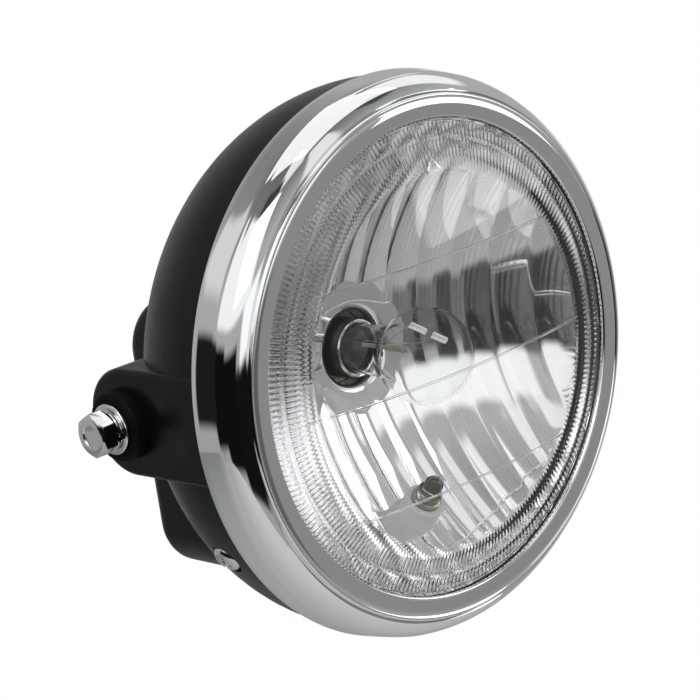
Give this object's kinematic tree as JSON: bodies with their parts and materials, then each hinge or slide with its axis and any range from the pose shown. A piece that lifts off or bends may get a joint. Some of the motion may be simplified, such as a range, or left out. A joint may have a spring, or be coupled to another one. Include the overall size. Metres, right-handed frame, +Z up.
{
  "type": "motorcycle headlight",
  "caption": "Round motorcycle headlight: chrome rim, domed glass, fluted reflector with bulbs, black bucket with two side ears and bolts.",
  "frame": {"origin": "midway between the two ear bolts, on the axis that the lamp tilts about in its bracket", "axes": "+X to the right when facing the glass, +Z up, the glass faces -Y"},
  "size_m": [0.2038, 0.1, 0.18],
  "materials": {
    "black_housing": "satin black",
    "chrome_rim": "polished",
    "lens_glass": "clear polished",
    "seal_rubber": "matt",
    "reflector_mirror": "vacuum-coated mirror",
    "zinc_steel": "zinc plated",
    "screw_steel": "zinc plated",
    "bulb_glass": "clear",
    "ceramic": "cream ceramic",
    "filament_wire": "bright wire",
    "cap_metal": "dull nickel",
    "solder": "solder",
    "socket_plastic": "moulded",
    "spring_steel": "bright",
    "contact_brass": "bright",
    "boot_rubber": "matt",
    "white_plastic": "white moulded",
    "pilot_metal": "bright",
    "bush_rubber": "satin",
    "washer_steel": "zinc plated",
    "bolt_steel": "zinc plated"
  },
  "bodies": {
    "root": {"bucket": "black_housing", "rim": "chrome_rim", "lens": "lens_glass", "lens_gasket": "seal_rubber", "reflector": "reflector_mirror", "mounting_ring": "zinc_steel", "rim_screws": "screw_steel", "clip_nuts": "zinc_steel", "bulb_glass": "bulb_glass", "bulb_stem": "ceramic", "filament": "filament_wire", "bulb_cap": "cap_metal", "bulb_contacts": "solder", "bulb_socket": "socket_plastic", "socket_spring": "spring_steel", "socket_terminals": "contact_brass", "rubber_boot": "boot_rubber", "pilot_holder": "white_plastic", "pilot_cup": "pilot_metal", "pilot_bulb": "bulb_glass", "pilot_contacts": "contact_brass", "ear_bushes": "bush_rubber", "flat_washers": "washer_steel", "spring_washers": "washer_steel", "ear_bolts": "bolt_steel", "ear_nuts": "zinc_steel", "cable_grommet": "boot_rubber"}
  },
  "joints": []
}
